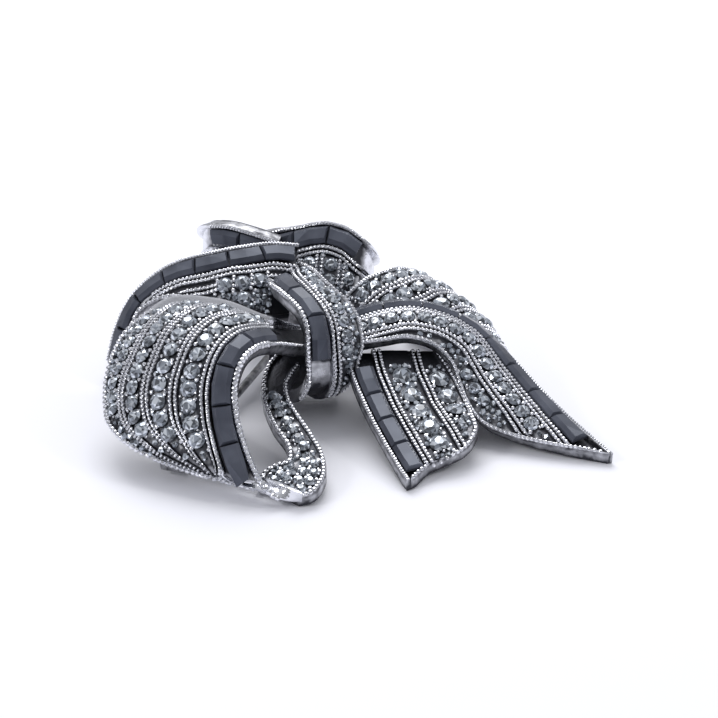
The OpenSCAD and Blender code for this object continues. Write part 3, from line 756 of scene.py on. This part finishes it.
# Lines of round stones: distance from the leading edge, first and last place, and radius
RETURN_STONE, RETURN_LAST_STONE = 0.66 * STONE_RADIUS, 0.76 * STONE_RADIUS
ROW_1 = CHANNEL + ROW_PITCH / 2
ROW_2, ROW_3, ROW_4 = ROW_1 + ROW_PITCH, ROW_1 + 2 * ROW_PITCH, ROW_1 + 3 * ROW_PITCH
FRONT_STONES = [
    (ROW_1, 1.3, 7.8, STONE_RADIUS), (ROW_2, 2.0, 7.6, STONE_RADIUS),
    (ROW_3, 2.7, 7.4, 0.96 * STONE_RADIUS), (ROW_4 - 0.2, 3.6, 6.6, 0.86 * STONE_RADIUS),
]
RETURN_STONES = [
    (1.5, 0.7, 3.5, RETURN_STONE), (2.9, 1.2, 3.4, RETURN_STONE),
    (4.2, 0.5, 2.6, RETURN_STONE), (5.6, 1.0, 2.0, RETURN_STONE),
    (2.05, 3.9, 6.9, RETURN_LAST_STONE),
]
LEFT_STONES = [(ROW_1 - 0.15, 1.0, 2.6, STONE_RADIUS), (ROW_1 + 2, 1.4, 2.0, 0.9 * STONE_RADIUS)]
RIGHT_STONES = [
    (0.6 * RIGHT_PITCH, 0.9, 6.4, 0.9 * STONE_RADIUS), (1.5 * RIGHT_PITCH, 1.3, 6.4, STONE_RADIUS),
    (2.5 * RIGHT_PITCH, 2.5, 6.3, STONE_RADIUS), (3.5 * RIGHT_PITCH, 2.95, 5.4, STONE_RADIUS),
]
LONG_STONES = [(CHANNEL + LONG_PITCH / 2, 0.9, 9.2, 0.93 * STONE_RADIUS),
               (CHANNEL + 1.5 * LONG_PITCH + 0.05, 5.6, 7.7, 0.78 * STONE_RADIUS)]
SHORT_STONES = [(CHANNEL + SHORT_PITCH / 2, 0.7, 4.9, LARGE_STONE),
                (CHANNEL + 1.4 * SHORT_PITCH, 0.8, 2.9, LARGE_STONE)]
KNOT_STONES = [(CHANNEL + 1.6, 1.4, 5.7, 0.82 * STONE_RADIUS)]
# Columns of round stones in the fan's flutes: place along, first and last distance
FAN_COLUMNS = [(2.5, 5.8, 7.9), (3.5, 6.0, 8.2), (4.5, 6.0, 6.0)]
FAN_SEATS = [(s, d + STONE_PITCH * k, FAN_STONE) for s, d, final in FAN_COLUMNS
             for k in range(round((final - d) / STONE_PITCH) + 1)]


def fade(value, first, last):
    """0 up to first, 1 from last on, and a straight line between them."""
    return max(0.0, min(1.0, (value - first) / (last - first)))


def dress(name, ribbon, lines=(), stones=(), channel=True, beads=(), seats=None,
          start=0.0, end=99.0, bare=0.0, **finish):
    """A ribbon's metal and its stones, in place of its plain solids. The lines run from the place
    start to the place end, and the grains and chips from the place bare on."""
    metal = start_mesh()
    width = max(ribbon.width(i / 4) for i in range(ribbon.last * 4 + 1))
    strip(metal, ribbon, relief(lines, width, channel), **finish)
    lines = ([CHANNEL] if channel else []) + list(lines)
    beads = list(beads)
    for d in lines:
        beads += double_line(ribbon, d, start, end)
    for line in stones:
        beads += grains(ribbon, line)
    seats = stone_seats(ribbon, stones) if seats is None else seats
    middles = [(ribbon.point(s, d), radius) for s, d, radius in seats]
    ground = CHANNEL + LINE_ROOM if channel else RIM + 0.4
    fine, chips = ground_bits(ribbon, lines, middles, ground, max(start, bare), end)
    add_beads(metal, beads + fine)
    piece("silver_" + name, metal, SILVER, [name])
    if seats or chips:
        cut = start_mesh()
        for s, d, radius in seats:
            round_stone(cut, ribbon.place(s, d), radius)
        add_chips(cut, chips)
        piece(name + "_brilliants", cut, GREY,
              [name + "_round_stones"] if seats else [], smooth=0)


def flute_beads(s):
    """Two rows of fine beads down a ridge of the fluted loop."""
    number = int((back_right_loop.width(s) - CHANNEL - 2) / FLUTE_BEAD_PITCH)
    return [(back_right_loop.place(s + aside, CHANNEL + 1 + FLUTE_BEAD_PITCH * k, RIM_TOP + 0.1),
             GROUND_GRAIN, 0.0)
            for aside in (-0.12, 0.12) for k in range(number)]


# How each ribbon's metal is shaded at the place s and the distance d: polished above 0, and
# blackened with painted shade below 0
def front_shade(s, d, width):
    """Polished at the fold and on the bare rear rim, painted shade in the hollow by the knot."""
    rim = fade(d, width - 0.9, width - 0.7)
    hollow = (1 - fade(s, 1.6, 2.3)) * fade(d, 0.6, 1) * (1 - rim)
    return max(0.75 * fade(s, 8.4, 10), 0.95 * rim * (1 - fade(s, 3, 3.6))) - hollow


def front_lip(s):
    """How far the bare rear rim of the front loop stands up."""
    return 0.9 * fade(s, 0.3, 0.9) * (1 - fade(s, 2.9, 3.5))


# Painted shade: black where the return runs into the knot
def return_shade(s, d, width):
    return -fade(s, 6.6, 7.2)


# Painted shade: black on the far part of its face where it starts at the knot
def left_shade(s, d, width):
    return -(1 - fade(s, 0.6, 0.85)) * fade(d, 5.4, 6.2)


def back_left_shade(s, d, width):
    return 0.65 * fade(s, 4.0, 4.8)


def back_right_shade(s, d, width):
    return 0.65 * fade(s, 4.9, 5.5)


# Painted shade: black at its start by the knot
def short_shade(s, d, width):
    return -(1 - fade(s, 0.4, 1.3))


def knot_shade(s, d, width):
    """Polished in its channel under the last stone, and painted shade where it turns under."""
    bright = 0.45 * fade(s, 5.7, 6) * (1 - fade(s, 7, 7.6)) * (1 - fade(d, 3.6, 4))
    return bright - fade(s, 7.6, 8.5)


# Radius and pitch of the beads on the rims
FINE, THIN, MEDIUM, BOLD, BROAD = (0.2, 0.42), (0.24, 0.5), (0.28, 0.6), (0.3, 0.6), (0.45, 0.6)
dress("front_loop", front_loop, [CHANNEL + k * ROW_PITCH for k in (1, 2, 3)], FRONT_STONES,
      beads=rim_beads(front_loop, *FINE, final=2.4)
      + rim_beads(front_loop, *BROAD, first=2.4, final=10.6)
      + rim_beads(front_loop, 0.4, 0.55, trailing=True, first=3.3, final=10.3),
      start=1.5, end=9.9, shade=front_shade, lip=front_lip, closed=9.45, plain=1.6)
dress("front_return", front_return, (), RETURN_STONES, channel=False,
      beads=rim_beads(front_return, *BOLD) + rim_beads(front_return, *BOLD, trailing=True),
      end=6.8, shade=return_shade)
dress("left_loop", left_loop, (CHANNEL + 1.9,), LEFT_STONES,
      beads=rim_beads(left_loop, *FINE) + rim_beads(left_loop, *MEDIUM, trailing=True, first=0.9),
      bare=0.8, shade=left_shade)
dress("back_left_loop", back_left_loop,
      beads=rim_beads(back_left_loop, *FINE, final=4.2), end=4.0, shade=back_left_shade)
dress("back_right_loop", back_right_loop, seats=FAN_SEATS,
      beads=rim_beads(back_right_loop, *FINE, final=4.9)
      + [bead for s in (2, 3, 4) for bead in flute_beads(s)],
      end=4.9, shade=back_right_shade, fan=True)
dress("right_loop", right_loop, [k * RIGHT_PITCH for k in (1, 2, 3, 4)], RIGHT_STONES,
      channel=False,
      beads=rim_beads(right_loop, *FINE) + rim_beads(right_loop, *FINE, trailing=True))
dress("long_tail", long_tail, (CHANNEL + LONG_PITCH,), LONG_STONES,
      beads=rim_beads(long_tail, *FINE, final=11.5)
      + rim_beads(long_tail, 0.28, 0.52, trailing=True, final=11.5))
dress("short_tail", short_tail, (CHANNEL + SHORT_PITCH,), SHORT_STONES,
      beads=rim_beads(short_tail, 0.24, 0.48, final=6.8)
      + rim_beads(short_tail, *MEDIUM, trailing=True),
      bare=0.6, shade=short_shade)
dress("knot_band", knot_band, (), KNOT_STONES,
      beads=rim_beads(knot_band, 0.36, 0.62, final=8)
      + rim_beads(knot_band, *THIN, trailing=True, final=8),
      end=8.0, shade=knot_shade)


def refinish(solid, material):
    """Gives a solid that stays as it is its real finish."""
    solid.data.materials.clear()
    solid.data.materials.append(material)


for name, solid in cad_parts.items():
    if "baguette" in name:
        refinish(solid, BLACK)
    elif name.startswith("pin_"):
        refinish(solid, PIN_SILVER)

# The table, the light and the camera
table_mesh = bmesh.new()
bmesh.ops.create_grid(table_mesh, x_segments=1, y_segments=1, size=3)
table_data = bpy.data.meshes.new("table")
table_mesh.to_mesh(table_data)
table_mesh.free()
paper = new_material("white paper", Roughness=0.9, Base_Color=(0.9, 0.905, 0.97, 1),
                     Specular_IOR_Level=0.1)[0]
table_data.materials.append(paper)
table = bpy.data.objects.new("table", table_data)
# A hair below the brooch, so that the two don't share a plane
table.location.z = -0.05 * MM
bpy.context.scene.collection.objects.link(table)

# The room is bright overhead and behind the brooch, and dark on the camera's side
world = bpy.data.worlds.new("studio")
world.use_nodes = True
sky = world.node_tree
way = node(sky, "ShaderNodeSeparateXYZ")
sky.links.new(node(sky, "ShaderNodeTexCoord").outputs["Generated"], way.inputs[0])
up, away = Value(sky, way.outputs["Z"]), Value(sky, way.outputs["Y"])
light = (0.3 + up.clamped() * 0.6) * (0.6 + (away + 0.4).clamped() * 0.4)
sky.nodes["Background"].inputs["Color"].default_value = (0.94, 0.955, 1, 1)
plug(sky, sky.nodes["Background"].inputs["Strength"], light)
bpy.context.scene.world = world


def softbox(name, place, size, power):
    """A square area light that faces the brooch."""
    lamp = bpy.data.lights.new(name, "AREA")
    lamp.size, lamp.energy = size, power
    made = bpy.data.objects.new(name, lamp)
    made.location = place
    made.rotation_euler = (-Vector(place)).to_track_quat("-Z", "Y").to_euler()
    bpy.context.scene.collection.objects.link(made)


softbox("overhead light", (-0.05, 0.34, 0.48), 0.42, 2.5)
softbox("left light", (-0.4, -0.25, 0.35), 0.12, 0.55)
softbox("right light", (0.45, -0.1, 0.4), 0.08, 0.4)

AIM = Vector((0.9, 1.7, 6.0)) * MM
DISTANCE, ELEVATION = 0.4, math.radians(27)
FOCAL_LENGTH = 152.4
lens = bpy.data.cameras.new("camera")
lens.lens, lens.sensor_width, lens.clip_start = FOCAL_LENGTH, 36, 0.01
camera = bpy.data.objects.new("camera", lens)
camera.location = AIM + DISTANCE * Vector((0, -math.cos(ELEVATION), math.sin(ELEVATION)))
camera.rotation_euler = (AIM - camera.location).to_track_quat("-Z", "Y").to_euler()
bpy.context.scene.collection.objects.link(camera)
bpy.context.scene.camera = camera
# The photo's soft contrast
bpy.context.scene.view_settings.view_transform = "Standard"
bpy.context.scene.view_settings.gamma = 1.15
